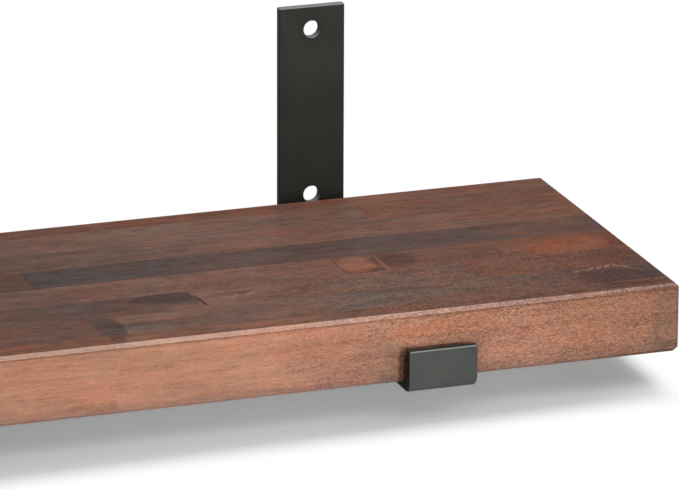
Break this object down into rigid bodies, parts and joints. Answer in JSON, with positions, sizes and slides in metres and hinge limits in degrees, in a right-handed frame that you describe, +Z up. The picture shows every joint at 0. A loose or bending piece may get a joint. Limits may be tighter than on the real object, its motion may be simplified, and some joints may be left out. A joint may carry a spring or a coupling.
{
  "type": "floating wall shelf",
  "caption": "Solid-wood wall shelf: a thick board of edge-glued brown staves resting in dark J-shaped steel brackets that rise behind it to screw to the wall.",
  "frame": {"origin": "on the wall plane, halfway along the board and level with the board's top face", "axes": "+X along the board to the viewer's right, +Y into the wall, +Z up"},
  "size_m": [0.914, 0.218, 0.154],
  "materials": {
    "wood_dark": "satin",
    "wood_umber": "satin",
    "wood_walnut": "satin",
    "wood_light": "satin",
    "wood_russet": "satin",
    "wood_amber": "satin",
    "steel_coat": "satin",
    "screw_black": "satin"
  },
  "bodies": {
    "root": {"stave_row1_1": "wood_russet", "stave_row1_2": "wood_walnut", "stave_row1_3": "wood_russet", "stave_row2_1": "wood_umber", "stave_row2_2": "wood_light", "stave_row2_3": "wood_walnut", "stave_row2_4": "wood_dark", "stave_row3_1": "wood_light", "stave_row3_2": "wood_walnut", "stave_row3_3": "wood_umber", "stave_row3_4": "wood_light", "stave_row3_5": "wood_walnut", "stave_row4_1": "wood_walnut", "stave_row4_2": "wood_umber", "stave_row4_3": "wood_light", "stave_row4_4": "wood_walnut", "stave_row4_5": "wood_amber", "stave_row5_1": "wood_walnut", "stave_row5_2": "wood_light", "stave_row5_3": "wood_walnut", "stave_row5_4": "wood_dark", "stave_row6_1": "wood_umber", "stave_row6_2": "wood_light", "stave_row6_3": "wood_walnut", "stave_row6_4": "wood_light", "stave_row7_1": "wood_light", "stave_row7_2": "wood_walnut", "stave_row7_3": "wood_light", "stave_row7_4": "wood_russet", "stave_row8_1": "wood_russet", "stave_row8_2": "wood_walnut", "stave_row8_3": "wood_russet", "stave_row8_4": "wood_russet", "bracket_left": "steel_coat", "bracket_right": "steel_coat", "board_screw_left_front": "screw_black", "board_screw_left_rear": "screw_black", "board_screw_right_front": "screw_black", "board_screw_right_rear": "screw_black"}
  },
  "joints": []
}
